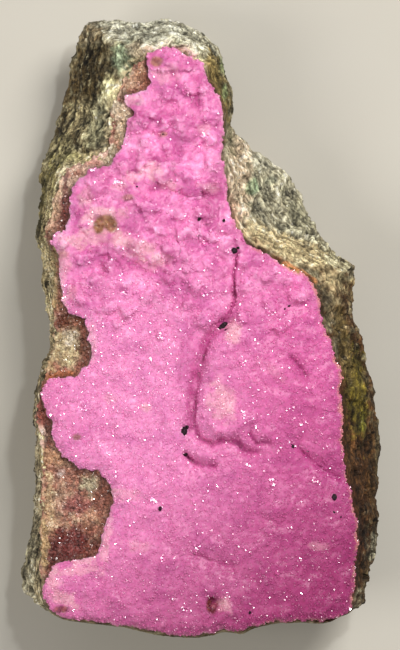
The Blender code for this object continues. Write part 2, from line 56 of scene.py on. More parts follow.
PIXELS_PER_MM = 4.0
FACE_PIXEL = (201.0, 327.0)  # the pixel at the outline's own zero
SHIFT = (-0.056, 0.284)  # from the outline's own zero to the middle of the footprint, in mm

CAMERA_HEIGHT = 1500.0  # above the face
FACE_LEVEL = 29.0
PICTURE_HEIGHT = 162.5  # the height of face that fills the picture
UNDERSIDE_LEVEL = 15.0  # rock lower than this isn't under the crust
MIRRORED = (0.2, 0.28, 0.94)  # halfway between the way to the camera and to the key light
MIRROR_SPREAD = 0.12  # how far mirroring crystals turn from that way

# Furrows in the crust, sunk into it and darkened with painted shade: strength, half width in
# millimetres and the line in pixels.
CREASES = [
    (0.75, 0.5, [(235, 240), (238, 252), (234, 275), (235, 298), (228, 318)]),
    (0.6, 1.9, [(228, 318), (209, 336), (198, 365), (192, 395), (191, 428)]),
    (0.85, 0.5, [(228, 318), (211, 336), (201, 365), (196, 395), (194, 425)]),
    (0.75, 0.7, [(193, 420), (199, 438), (213, 445), (222, 440), (238, 443), (246, 452),
                 (256, 452)]),
    (0.8, 0.6, [(250, 434), (256, 443), (268, 443)]),
    (0.7, 0.6, [(187, 456), (194, 462), (205, 466), (215, 466)]),
    (0.5, 0.7, [(298, 447), (308, 458), (322, 470), (341, 479)]),
    (0.5, 0.8, [(291, 358), (300, 368), (305, 376)]),
    (0.4, 0.8, [(150, 190), (165, 188), (185, 196), (215, 197)]),
    (0.35, 0.8, [(72, 207), (78, 227), (92, 243), (110, 248), (128, 262), (150, 272)]),
    (0.35, 0.7, [(197, 555), (217, 562), (233, 567)]),
    (0.35, 0.8, [(128, 250), (140, 262), (158, 268), (170, 262)]),
]

# Black grains on the crust: pixel and size in millimetres.
GRAINS = [
    (234, 251, 1.7), (238, 248, 0.8), (224, 325, 2.0), (220, 328, 1.0), (184, 431, 2.2),
    (187, 427, 1.2), (185, 454, 1.6), (160, 508, 1.3), (334, 497, 1.6), (292, 446, 1.3),
    (334, 512, 0.7), (341, 517, 0.7), (199, 219, 1.1),
    (224, 221, 0.9), (289, 306, 0.7), (285, 309, 0.6), (250, 612, 0.9), (163, 135, 0.7),
    (137, 187, 0.6), (308, 451, 0.5), (226, 330, 0.8),
]

# Where clean crystals that mirror the light stand close together: pixel and radius in millimetres.
BUNCHES = [
    (116, 111, 1.2), (232, 106, 1.2), (196, 58, 1.2), (195, 548, 1.6), (273, 314, 1.5),
    (273, 482, 1.6), (243, 146, 1.3), (92, 169, 1.2), (229, 596, 1.6), (205, 293, 1.5),
    (185, 92, 1.4), (163, 336, 1.4), (86, 410, 1.4), (248, 464, 1.4), (205, 136, 1.6),
    (124, 294, 1.2), (302, 423, 1.2), (277, 572, 1.2), (242, 363, 1.4), (184, 608, 1.4),
    (153, 500, 1.2), (118, 184, 1.6), (206, 242, 1.6), (162, 558, 1.2), (147, 406, 1.5),
    (313, 480, 1.2), (243, 414, 1.4), (90, 223, 0.8),
]

# Patches of one colour: pixel, half width and half height in pixels, turn in degrees and share.
SHADED = [
    (96, 254, 30, 7, 20, 0.65), (78, 236, 8, 10, 0, 0.55), (76, 214, 5, 18, 0, 0.55),
    (88, 240, 9, 5, 0, 0.5), (150, 272, 26, 7, 15, 0.5),
    (186, 296, 24, 9, 25, 0.45), (200, 188, 26, 6, 0, 0.5), (160, 206, 20, 5, -10, 0.4),
    (222, 205, 10, 7, 20, 0.45), (170, 120, 12, 8, 0, 0.35), (187, 355, 8, 34, 8, 0.5),
    (196, 250, 18, 6, -20, 0.35), (92, 430, 22, 7, 10, 0.3), (320, 470, 26, 8, 30, 0.4),
    (60, 560, 14, 5, 0, 0.3), (268, 462, 22, 5, 5, 0.35), (300, 372, 10, 7, 40, 0.4),
]

PALE = [
    (220, 400, 12, 17, -10, 0.5), (111, 399, 8, 5, 0, 0.3), (146, 407, 4, 5, 0, 0.6),
    (122, 494, 18, 6, 0, 0.35), (150, 172, 10, 8, 0, 0.6), (133, 178, 7, 6, 0, 0.5),
    (52, 580, 7, 12, 10, 0.6), (66, 598, 12, 7, 30, 0.6), (84, 560, 12, 5, 0, 0.6),
    (140, 250, 22, 9, 25, 0.6),
    (104, 226, 17, 14, 0, 0.95), (226, 400, 7, 16, -20, 0.45),
    (60, 298, 6, 30, -4, 0.6), (64, 262, 6, 16, 0, 0.5), (80, 330, 10, 4, 0, 0.45),
    (92, 345, 4, 18, 0, 0.4), (106, 540, 4, 22, 8, 0.5), (80, 570, 22, 4, -4, 0.5),
    (158, 262, 13, 7, 0, 0.5), (120, 240, 14, 5, 10, 0.6), (132, 100, 9, 6, 0, 0.6),
    (140, 545, 13, 5, 0, 0.3), (318, 546, 7, 4, 0, 0.3), (72, 242, 14, 6, 20, 0.6),
    (224, 604, 6, 8, -10, 0.7), (165, 73, 12, 8, 0, 0.4), (275, 372, 14, 5, 30, 0.2),
    (233, 330, 7, 10, 0, 0.7), (86, 199, 8, 8, 0, 0.6), (108, 214, 16, 5, 0, 0.7),
    (170, 185, 9, 6, 0, 0.5), (210, 188, 9, 5, 0, 0.5), (120, 188, 7, 5, 0, 0.45),
    (92, 235, 14, 7, 20, 0.6), (205, 130, 7, 5, 0, 0.4), (60, 545, 12, 6, 0, 0.5),
]

RUSTY = [
    (99, 226, 6, 8, 0, 1.0), (105, 220, 8, 5, 0, 0.9), (111, 225, 7, 8, 0, 1.0),
    (103, 490, 16, 3, 0, 0.35), (212, 605, 6, 8, 0, 1.0), (61, 609, 7, 4, 0, 0.8),
    (156, 62, 6, 5, 0, 0.8), (77, 437, 4, 3, 0, 0.7), (128, 198, 6, 3, 0, 0.6),
    (58, 255, 12, 4, 0, 0.5), (163, 135, 4, 3, 0, 0.6), (140, 262, 6, 3, 0, 0.25),
    (150, 250, 5, 3, 0, 0.2), (48, 252, 6, 5, 0, 0.5), (72, 292, 5, 8, 0, 0.3),
]

# Patches of their own colour, which is given on screen between turn and share.
ROCK_PATCHES = [
    (150, 30, 75, 17, 5, (196, 194, 176), 0.9), (205, 45, 30, 10, 38, (188, 184, 164), 0.85),
    (78, 95, 18, 62, 14, (80, 64, 38), 0.95), (98, 75, 17, 36, 10, (72, 60, 36), 0.9),
    (90, 32, 12, 10, 0, (126, 108, 82), 0.7), (88, 140, 10, 26, 14, (86, 72, 46), 0.85),
    (66, 135, 10, 26, 18, (104, 90, 66), 0.7), (124, 60, 12, 16, 0, (140, 156, 128), 0.8),
    (131, 58, 4, 8, 0, (66, 92, 74), 0.7), (121, 45, 3, 3, 0, (24, 28, 22), 0.9),
    (110, 92, 8, 14, 10, (214, 206, 160), 0.85), (140, 50, 12, 7, 0, (200, 182, 156), 0.8),
    (186, 49, 20, 9, 14, (240, 234, 202), 0.97), (203, 62, 8, 6, 50, (228, 220, 180), 0.85),
    (218, 85, 10, 40, -12, (108, 92, 54), 0.95), (224, 62, 5, 9, 0, (104, 122, 90), 0.6),
    (225, 90, 3, 8, 0, (140, 160, 116), 0.6), (212, 60, 5, 9, -20, (128, 112, 70), 0.6),
    (102, 103, 6, 7, 0, (200, 192, 156), 0.8), (118, 112, 5, 6, 0, (236, 232, 222), 0.8),
    (95, 125, 12, 22, 15, (150, 146, 118), 0.8), (78, 116, 14, 18, 10, (172, 158, 122), 0.8),
    (62, 150, 12, 18, 10, (142, 134, 100), 0.75), (78, 158, 20, 6, 5, (166, 158, 112), 0.7),
    (275, 195, 42, 62, -40, (168, 162, 140), 0.95), (262, 150, 20, 14, 45, (182, 178, 160), 0.6),
    (300, 215, 10, 26, -30, (132, 128, 106), 0.7), (240, 185, 12, 48, 2, (206, 182, 156), 0.85),
    (234, 220, 6, 22, 0, (206, 164, 138), 0.6), (252, 186, 6, 9, 0, (122, 152, 116), 0.65),
    (270, 180, 6, 5, 0, (98, 102, 84), 0.6), (290, 248, 60, 12, 22, (198, 178, 138), 0.9),
    (300, 272, 30, 3, 30, (208, 130, 74), 0.7), (338, 262, 14, 7, 20, (206, 198, 164), 0.8),
    (350, 290, 9, 16, 0, (122, 104, 72), 0.8), (352, 272, 6, 8, 0, (150, 142, 120), 0.6),
    (336, 300, 12, 32, -20, (164, 146, 112), 0.85), (354, 440, 26, 150, -4, (68, 40, 15), 0.97),
    (358, 392, 11, 44, -4, (98, 88, 30), 0.75), (364, 424, 4, 12, 0, (92, 112, 38), 0.2),
    (344, 345, 7, 36, -10, (124, 106, 66), 0.7), (370, 325, 4, 40, -12, (160, 152, 128), 0.7),
    (377, 470, 9, 80, 0, (66, 44, 20), 0.9),
    (379, 452, 2, 30, 0, (122, 110, 80), 0.4), (375, 548, 3, 14, 0, (190, 184, 160), 0.7),
    (354, 545, 14, 62, 0, (52, 28, 12), 0.95), (368, 585, 6, 26, 0, (76, 56, 34), 0.6),
    (48, 190, 8, 40, 8, (122, 112, 66), 0.8), (40, 215, 4, 50, 0, (78, 70, 44), 0.8),
    (44, 250, 5, 40, 0, (196, 178, 136), 0.6), (44, 330, 8, 50, 0, (120, 100, 72), 0.7),
    (47, 300, 5, 14, 0, (196, 180, 140), 0.6), (38, 380, 5, 30, 0, (98, 84, 62), 0.7),
    (44, 440, 5, 40, 0, (222, 196, 146), 0.8), (35, 450, 4, 50, 0, (120, 110, 94), 0.8),
    (34, 520, 10, 50, 0, (150, 142, 122), 0.8), (44, 545, 5, 30, 0, (222, 204, 158), 0.7),
    (38, 300, 3, 60, 0, (84, 74, 54), 0.7), (30, 470, 3, 60, 0, (88, 80, 66), 0.7),
    (48, 215, 4, 40, 4, (212, 196, 150), 0.6), (40, 505, 4, 10, 0, (92, 74, 56), 0.6),
    (40, 470, 3, 8, 0, (96, 78, 58), 0.5), (36, 560, 5, 8, 0, (98, 88, 70), 0.6),
    (28, 592, 16, 28, 0, (168, 160, 138), 0.8), (40, 580, 6, 20, 0, (206, 186, 148), 0.7),
]

BROWN_PATCHES = [
    (92, 172, 30, 14, -30, (214, 184, 160), 0.6), (60, 205, 9, 26, 8, (206, 172, 146), 0.6),
    (66, 322, 22, 8, 0, (118, 64, 44), 0.9), (65, 349, 17, 20, 0, (200, 182, 144), 0.95),
    (70, 338, 7, 8, 0, (226, 218, 196), 0.7), (62, 358, 6, 7, 0, (190, 168, 130), 0.6),
    (85, 350, 5, 24, 0, (112, 58, 46), 0.85), (58, 376, 22, 4, -6, (176, 108, 66), 0.85),
    (48, 345, 5, 30, 0, (168, 148, 104), 0.6), (41, 405, 5, 24, 0, (160, 84, 70), 0.85),
    (41, 436, 6, 10, 0, (226, 196, 180), 0.85), (48, 425, 4, 14, 0, (98, 48, 40), 0.8),
    (46, 395, 4, 10, 0, (206, 150, 120), 0.6), (54, 458, 14, 9, 0, (198, 154, 120), 0.9),
    (68, 474, 18, 10, 10, (182, 130, 112), 0.8), (60, 474, 4, 4, 0, (236, 214, 204), 0.8),
    (90, 484, 9, 10, 0, (196, 186, 156), 0.9), (80, 470, 14, 4, 20, (120, 66, 50), 0.7),
    (104, 500, 8, 24, 0, (142, 90, 76), 0.85), (74, 506, 14, 10, 0, (160, 98, 94), 0.85),
    (90, 518, 8, 8, 0, (196, 150, 124), 0.8), (50, 505, 6, 30, 0, (212, 182, 144), 0.8),
    (60, 495, 7, 12, 0, (190, 158, 136), 0.7), (56, 524, 8, 6, 0, (222, 190, 160), 0.8),
    (70, 548, 26, 18, -6, (108, 44, 42), 0.97), (52, 560, 10, 10, 0, (92, 42, 36), 0.8),
    (92, 545, 8, 14, 0, (128, 70, 56), 0.7), (44, 545, 4, 30, 0, (196, 172, 126), 0.7),
    (64, 190, 7, 20, 10, (222, 190, 170), 0.85), (56, 200, 4, 22, 8, (190, 158, 128), 0.7),
    (64, 214, 5, 14, 0, (118, 56, 50), 0.85), (70, 178, 5, 6, 0, (150, 84, 76), 0.7),
    (58, 226, 6, 8, 0, (206, 160, 140), 0.7), (84, 168, 12, 8, 10, (228, 196, 178), 0.85),
    (78, 176, 5, 5, 0, (152, 90, 74), 0.7), (100, 160, 14, 7, -10, (216, 176, 164), 0.85),
    (112, 150, 4, 6, 0, (238, 226, 214), 0.7), (136, 92, 8, 9, 0, (164, 98, 82), 0.9),
    (148, 66, 4, 10, 0, (112, 56, 46), 0.85), (148, 84, 4, 8, 0, (122, 62, 52), 0.8),
    (118, 108, 8, 8, 0, (226, 214, 190), 0.9), (130, 82, 10, 8, 0, (206, 176, 150), 0.7),
    (134, 110, 5, 8, 0, (112, 52, 48), 0.85), (127, 104, 5, 6, 0, (216, 168, 160), 0.8),
    (122, 132, 6, 14, 0, (206, 182, 150), 0.85), (118, 148, 5, 10, 0, (168, 116, 94), 0.7),
    (46, 265, 5, 20, 0, (208, 176, 134), 0.8), (53, 280, 4, 38, 3, (178, 162, 114), 0.85),
    (54, 300, 5, 12, 0, (190, 168, 124), 0.7), (48, 300, 4, 12, 0, (196, 120, 80), 0.5),
    (105, 228, 12, 10, 0, (138, 92, 52), 0.9), (48, 284, 5, 44, 0, (142, 130, 94), 0.85),
    (44, 262, 6, 26, 0, (158, 146, 106), 0.8), (74, 182, 12, 6, -30, (226, 196, 176), 0.7),
    (112, 156, 7, 10, 0, (190, 178, 150), 0.8), (92, 162, 9, 5, 0, (196, 132, 120), 0.6),
    (122, 120, 7, 18, 0, (222, 200, 170), 0.75), (140, 78, 6, 10, 0, (196, 140, 110), 0.6),
    (66, 206, 4, 24, 3, (104, 50, 46), 0.9), (63, 222, 7, 9, 0, (116, 62, 54), 0.85),
]


def place(px, py):
    """Millimetres in the frame of a pixel of the picture."""
    x = (px - FACE_PIXEL[0]) / PIXELS_PER_MM + SHIFT[0]
    y = (FACE_PIXEL[1] - py) / PIXELS_PER_MM + SHIFT[1]
    return x, y


def pixels(points):
    """The picture's pixel of each point."""
    px = (points[:, 0] - SHIFT[0]) * PIXELS_PER_MM + FACE_PIXEL[0]
    py = FACE_PIXEL[1] - (points[:, 1] - SHIFT[1]) * PIXELS_PER_MM
    return px, py


def linear(red, green, blue):
    """A colour given as 0 to 255 on screen, as the light it reflects."""
    screen = np.array((red, green, blue), float) / 255
    return np.where(screen <= 0.04045, screen / 12.92, ((screen + 0.055) / 1.055) ** 2.4)


def rise(low, high, value):
    """0 at low, 1 at high and smooth between them; low may be the larger."""
    share = np.clip((value - low) / (high - low), 0.0, 1.0)
    return share * share * (3 - 2 * share)


def lengths(vectors):
    return np.linalg.norm(vectors, axis=1)


def units(vectors):
    return vectors / lengths(vectors)[:, None]


def along(away, angle):
    """How far each vector reaches in a level direction."""
    return away[:, 0] * np.cos(angle) + away[:, 1] * np.sin(angle)


def heights(away, around, up):
    """Height of each place on a plane through its cell's own point, with the plane's normal."""
    return along(away, around) * np.sqrt(1 - up * up) + away[:, 2] * up


class Coat:
    """The colours of points, laid on over one another at places of the picture."""

    def __init__(self, points, screen):
        self.spots = np.stack(pixels(points), 1)
        self.x, self.y = self.spots.T
        self.colour = np.tile(linear(*screen), (len(points), 1))
        self.frays = [fractal(points * 0.45, 3, 11 + 5 * i) for i in range(3)]

    def lay(self, colour, share):
        """Lays a screen colour, or one colour for each point, over what is there."""
        colour = linear(*colour) if isinstance(colour, tuple) else colour
        share = np.clip(share, 0.0, 1.0)[:, None]
        self.colour = self.colour * (1 - share) + colour * share

    def deepen(self, factor, share):
        self.lay(self.colour * factor, share)

    def lighten(self, factor, extra, most, share):
        self.lay(np.minimum(self.colour * factor + extra, most), share)

    def blob(self, px, py, half_x, half_y, turn, soft, ragged=0.35, fray=0):
        """1 inside a ragged ellipse of the picture, 0 outside; turn is in degrees, clockwise."""
        away, turn = self.spots - (px, py), math.radians(turn)
        across = along(away, turn + math.pi / 2) / half_y
        reach = np.hypot(along(away, turn) / half_x, across) + ragged * self.frays[fray % 3]
        return 1 - rise(1 - soft, 1 + soft, reach)

    def patches(self, rows, soft, ragged, fray, screen=None):
        """Lays each patch on, in its own or in one screen colour."""
        for i, (px, py, half_x, half_y, turn, *own, share) in enumerate(rows):
            mask = share * self.blob(px, py, half_x, half_y, turn, soft, ragged, fray + i)
            self.lay(own[0] if own else screen, mask)


def mixed(cells, seed):
    """A number from 0 to 1 for each whole-numbered cell."""
    cells = cells.astype(np.int64)
    h = cells[..., 0] * 0x0DA6B343 ^ cells[..., 1] * 0x18163841 ^ seed * 0x1E3779B1
    if cells.shape[-1] > 2:
        h = h ^ cells[..., 2] * 0x0B1AB31F
    for shift, factor in ((15, 0x2C1B3C6D), (12, 0x297A2D39), (15, 1)):
        h = h & 0xFFFFFFFF
        h = (h ^ (h >> shift)) * factor
    return (h & 0xFFFFFFFF) / 4294967296.0


def gradient_noise(points, seed=0):
    """Smooth noise of about -1 to 1 at points whose unit is the noise's cell."""
    base = np.floor(points).astype(np.int64)
    inner = points - base
    fade = inner**3 * (inner * (inner * 6 - 15) + 10)
    total = np.zeros(len(points))
    for corner in range(8):
        step = np.array([corner & 1, corner >> 1 & 1, corner >> 2 & 1])
        first = mixed(base + step, seed)
        up = (first * 4093.0) % 1.0 * 2 - 1
        slope = heights(inner - step, first * math.tau, up)
        total += slope * np.prod(np.where(step, fade, 1 - fade), axis=1)
    return total * 1.5


def fractal(points, octaves, seed=0, gain=0.5):
    """Noise of ever smaller cells, each octave gain times as strong as the last."""
    total = np.zeros(len(points))
    size = 1.0
    for octave in range(octaves):
        total += size * gradient_noise(points * 2.03**octave, seed + 37 * octave)
        size *= gain
    return total


def druse_relief(points, cell, seed, tilt=0.5):
    """Height in cells of a druse: the union of three-sided tips, one for each cell in x and y."""
    flat = points[:, :2] / cell
    base = np.floor(flat).astype(np.int64)
    best = np.full(len(points), -9.0)
    tint = np.zeros(len(points))
    for dx in (-1, 0, 1):
        for dy in (-1, 0, 1):
            home = base + (dx, dy)
            away = flat - home - np.stack([mixed(home, seed), mixed(home, seed + 1)], -1)
            turn = mixed(home, seed + 2) * math.tau
            lean = mixed(home, seed + 3) * math.tau
            slant = tilt * mixed(home, seed + 4)
            tall = 0.55 * mixed(home, seed + 5)
            reach = np.max([along(away, turn + i * math.tau / 3) for i in range(3)], axis=0)
            height = tall - 0.95 * reach + slant * along(away, lean)
            tint = np.where(height > best, mixed(home, seed + 6), tint)
            best = np.maximum(best, height)
    return best, tint


def chip_relief(points, cell, seed, tilt=0.6):
    """Height in cells of a broken face: each 3-D cell is one flat chip, leaning its own way."""
    scaled = points / cell
    base = np.floor(scaled).astype(np.int64)
    nearest = np.full(len(points), 9.0)
    height = np.zeros(len(points))
    for number in range(27):
        home = base + (number % 3 - 1, number // 3 % 3 - 1, number // 9 - 1)
        chance = [mixed(home, seed + i) for i in range(6)]
        away = scaled - home - np.stack(chance[:3], -1)
        distance = (away**2).sum(axis=1)
        slope = heights(away, chance[3] * math.tau, chance[4] * 2 - 1)
        closer = distance < nearest
        height = np.where(closer, 0.5 * (chance[5] - 0.5) + tilt * slope, height)
        nearest = np.minimum(nearest, distance)
    return height


class Shape:
    """A triangle mesh in millimetres that can be cut finer, eased and pushed along its normals."""

    def __init__(self, points, faces):
        self.points = np.asarray(points, float)
        self.faces = np.asarray(faces, np.int64)
        self.marks = np.zeros(len(self.points))
        self.pairs = None

    def edges(self):
        ends = np.sort(self.faces[:, [[0, 1], [1, 2], [2, 0]]].reshape(-1, 2), axis=1)
        count = len(self.points)
        keys, index = np.unique(ends[:, 0] * count + ends[:, 1], return_inverse=True)
        return np.stack([keys // count, keys % count], 1), index.reshape(-1, 3)

    def refine(self, target, rounds=7):
        """Halves every edge that is longer than the target for its middle and mean mark."""
        for _ in range(rounds):
            ends, index = self.edges()
            a, b = self.points[ends[:, 0]], self.points[ends[:, 1]]
            length = lengths(a - b)
            mark = self.marks[ends].mean(axis=1)
            split = length > target((a + b) / 2, mark)
            for _ in range(3):
                touched = split[index].any(axis=1)
                longest = index[np.arange(len(index)), length[index].argmax(axis=1)]
                split[longest[touched]] = True
            if not split.any():
                return
            middle = np.full(len(ends), -1)
            middle[split] = len(self.points) + np.arange(split.sum())
            self.points = np.concatenate([self.points, (a[split] + b[split]) / 2])
            self.marks = np.concatenate([self.marks, mark[split]])
            self.faces = self.cut(middle[index])
            self.pairs = None

    def cut(self, middle):
        """The faces after each edge that has a middle is halved there."""
        marked = middle >= 0
        count = marked.sum(axis=1)
        made = [self.faces[count == 0]]
        for turn in range(3):
            a, b, c = np.roll(self.faces, -turn, axis=1).T
            ab, bc, _ = np.roll(middle, -turn, axis=1).T
            on = np.roll(marked, -turn, axis=1)
            one = (count == 1) & on[:, 0]
            two = (count == 2) & on[:, 0] & on[:, 1]
            made += [np.stack(ring, 1)[one] for ring in ((a, ab, c), (ab, b, c))]
            made += [np.stack(ring, 1)[two] for ring in ((ab, b, bc), (a, ab, bc), (a, bc, c))]
        a, b, c = self.faces[count == 3].T
        ab, bc, ca = middle[count == 3].T
        made += [np.stack(r, 1) for r in ((a, ab, ca), (ab, b, bc), (ca, bc, c), (ab, bc, ca))]
        return np.concatenate(made)

    def neighbour_mean(self, values):
        """The mean of each point's neighbours, for one or more columns."""
        if self.pairs is None:
            ends, _ = self.edges()
            self.pairs = np.concatenate([ends, ends[:, ::-1]])
        both = self.pairs
        count = np.bincount(both[:, 0], minlength=len(self.points))
        columns = values.reshape(len(values), -1)
        sums = [np.bincount(both[:, 0], column[both[:, 1]], len(count)) for column in columns.T]
        return (np.stack(sums, 1) / np.maximum(count, 1)[:, None]).reshape(values.shape)

    def ease(self, rounds, where=None):
        """Rounds off facets; where is a weight for each point."""
        weight = 0.6 if where is None else 0.6 * where[:, None]
        for _ in range(rounds):
            self.points = self.points + weight * (self.neighbour_mean(self.points) - self.points)

    def face_normals(self):
        a, b, c = (self.points[self.faces[:, i]] for i in range(3))
        return np.cross(b - a, c - a)

    def normals(self):
        across = self.face_normals()
        total = np.zeros_like(self.points)
        for i in range(3):
            for axis in range(3):
                total[:, axis] += np.bincount(self.faces[:, i], across[:, axis], len(total))
        return total / np.maximum(lengths(total), 1e-9)[:, None]

    def push(self, amount):
        self.points = self.points + self.normals() * amount[:, None]

    def hollowness(self, rounds):
        """How far each point lies below (+) or above (-) its surroundings, in millimetres."""
        around = self.points
        for _ in range(rounds):
            around = self.neighbour_mean(around)
        return ((around - self.points) * self.normals()).sum(axis=1)


def shape_of(node):
    """The solid of a CAD node, its corners welded."""
    mesh = node.data
    mesh.calc_loop_triangles()
    matrix = np.array(node.matrix_world)
    points = np.array([v.co for v in mesh.vertices]) / MM
    points = points @ matrix[:3, :3].T + matrix[:3, 3] / MM
    rounded = np.round(points, 3)
    _, first, index = np.unique(rounded, axis=0, return_index=True, return_inverse=True)
    faces = index.reshape(-1)[[list(t.vertices) for t in mesh.loop_triangles]]
    whole = (faces != np.roll(faces, 1, axis=1)).all(axis=1)
    return Shape(points[first], faces[whole])


def placed(name, data):
    """A new object in the scene."""
    made = bpy.data.objects.new(name, data)
    bpy.context.scene.collection.objects.link(made)
    return made


def piece(name, points, faces, tint, material, smooth=False, lie=None):
    """A mesh object with its colours and, for layered rock, each point's place in the layers."""
    mesh = bpy.data.meshes.new(name)
    mesh.vertices.add(len(points))
    mesh.vertices.foreach_set("co", (points * MM).astype(np.float32).ravel())
    mesh.loops.add(len(faces) * 3)
    mesh.loops.foreach_set("vertex_index", faces.astype(np.int32).ravel())
    mesh.polygons.add(len(faces))
    mesh.polygons.foreach_set("loop_start", np.arange(0, len(faces) * 3, 3, dtype=np.int32))
    mesh.polygons.foreach_set("use_smooth", np.full(len(faces), smooth))
    mesh.update(calc_edges=True)
    rows = np.ones((len(points), 4), np.float32)
    rows[:, :3] = np.clip(tint, 0.0, 1.0)
    colours = mesh.color_attributes.new("tint", "FLOAT_COLOR", "POINT")
    colours.data.foreach_set("color", rows.ravel())
    if lie is not None:
        layers = mesh.attributes.new("lie", "FLOAT_VECTOR", "POINT")
        layers.data.foreach_set("vector", lie.astype(np.float32).ravel())
    mesh.materials.append(material)
    return placed(name, mesh)


def line_distance(points, corners):
    """Distance of each point, seen from above, from a line."""
    nearest = np.full(len(points), 1e9)
    for start, end in zip(corners[:-1], corners[1:]):
        away, run = points[:, :2] - start, end - start
        passed = np.clip(away @ run / (run @ run), 0, 1)
        nearest = np.minimum(nearest, lengths(away - passed[:, None] * run))
    return nearest


class Border:
    """Distance from a closed border seen from above: below 0 inside it, read from a fine grid."""

    STEP = 0.3
    LOW = (-52.0, -84.0)
    COUNT = (348, 561)

    def __init__(self, loop):
        axes = [low + self.STEP * np.arange(n) for low, n in zip(self.LOW, self.COUNT)]
        px, py = (axis.ravel() for axis in np.meshgrid(*axes, indexing="ij"))
        closed = np.concatenate([loop, loop[:1]])
        within = np.zeros(len(px), bool)
        for (ax, ay), (bx, by) in zip(closed[:-1], closed[1:]):
            if ay != by:
                reach = ax + (py - ay) / (by - ay) * (bx - ax)
                within ^= ((ay > py) != (by > py)) & (px < reach)
        away = line_distance(np.stack([px, py], 1), closed)
        self.values = (away * np.where(within, -1, 1)).reshape(self.COUNT)

    def at(self, points):
        spot = (points[:, :2] - self.LOW) / self.STEP
        spot = np.clip(spot, 0, np.array(self.COUNT) - 1.001)
        cell = spot.astype(np.int64)
        u, v = (spot - cell).T
        i, j = cell.T
        low = self.values[i, j] * (1 - u) + self.values[i + 1, j] * u
        high = self.values[i, j + 1] * (1 - u) + self.values[i + 1, j + 1] * u
        return low * (1 - v) + high * v


def layer_place(points, edge):
    """Place in the rock's thin layers: long along them, short across; they run round the crust."""
    return np.stack([points[:, 0] * 0.22, points[:, 1] * 0.22, points[:, 2] - 0.6 * edge], 1)


def crease_shade(points):
    """1 in the middle of a deep furrow, 0 away from all."""
    shade = np.zeros(len(points))
    waver = 0.35 * gradient_noise(points * 0.7, 5)
    fade = 0.75 + 0.5 * gradient_noise(points * 0.35, 6)
    for strength, half_width, path in CREASES:
        away = line_distance(points, np.array([place(*pixel) for pixel in path])) + waver
        shade = np.maximum(shade, strength * np.exp(-((away / half_width) ** 2)))
    return shade * np.clip(fade, 0.3, 1.0)


def pink_colours(points, hollow, edge):
    """Colours of the pink crust; hollow and edge are one number for each point."""
    coat = Coat(points, (228, 128, 183))
    x, y = coat.x, coat.y
    tone = fractal(points * 0.16, 4, 3)
    fine = fractal(points * 0.6, 3, 4)
    lower = rise(240, 360, y)
    coat.lay((249, 164, 213), 0.5 * coat.blob(125, 390, 75, 125, 10, 0.8))
    coat.lay((214, 94, 160), 0.7 * rise(210, 300, x) * lower)
    coat.lay((167, 60, 116), rise(420, 722, y + 0.75 * (x - 200)))
    coat.deepen((0.78, 0.6, 0.78), (0.7 - 0.3 * lower) * rise(0.0, 0.6, tone))
    coat.lay((252, 176, 218), (0.5 - 0.44 * lower) * rise(0.05, 0.7, -tone))
    coat.lay((252, 190, 224), (0.35 - 0.28 * lower) * rise(0.2, 0.8, fine))
    coat.deepen((0.8, 0.65, 0.8), 0.4 * rise(0.2, 0.8, -fine))
    coat.patches(SHADED, 0.6, 0.5, 30, (196, 84, 150))
    coat.patches(PALE, 0.45, 0.75, 20, (246, 190, 200))
    for i, (px, py, half_x, half_y, turn, share) in enumerate(RUSTY):
        red = 1.0 if py > 600 else 0.0
        light = linear(182 - 30 * red, 136 - 56 * red, 96 - 36 * red)
        dark = linear(134 - 38 * red, 92 - 62 * red, 58 - 26 * red)
        mix = rise(-0.35, 0.45 - 0.4 * red, fine)[:, None]
        mask = share * coat.blob(px, py, half_x, half_y, turn, 0.3, 0.22, 50 + i)
        coat.lay(light * (1 - mix) + dark * mix, mask)
    # painted shade along the furrows: darker pink, and near-black magenta in their middles
    furrow_shade = crease_shade(points)
    coat.lay((180, 60, 128), 0.75 * rise(0.0, 0.6, furrow_shade))
    coat.lay((112, 20, 64), 0.85 * rise(0.55, 0.95, furrow_shade))
    # painted shade: darker pink in the hollows of the crust
    coat.lay((188, 66, 140), 0.6 * rise(0.05, 0.5, hollow))
    # painted highlight: paler pink on raised places, mostly in the upper part
    coat.lay((255, 196, 228), (0.45 - 0.36 * lower) * rise(0.06, 0.5, -hollow))
    near = (1 - rise(0.1, 0.9, edge + 0.6 * fine)) * rise(-0.3, 0.5, tone + fine)
    right = rise(215, 260, x) * rise(640, 600, y)
    coat.lay((236, 172, 140), 0.6 * near * right)
    coat.lay((246, 190, 206), 0.3 * near * (1 - right))
    return coat.colour


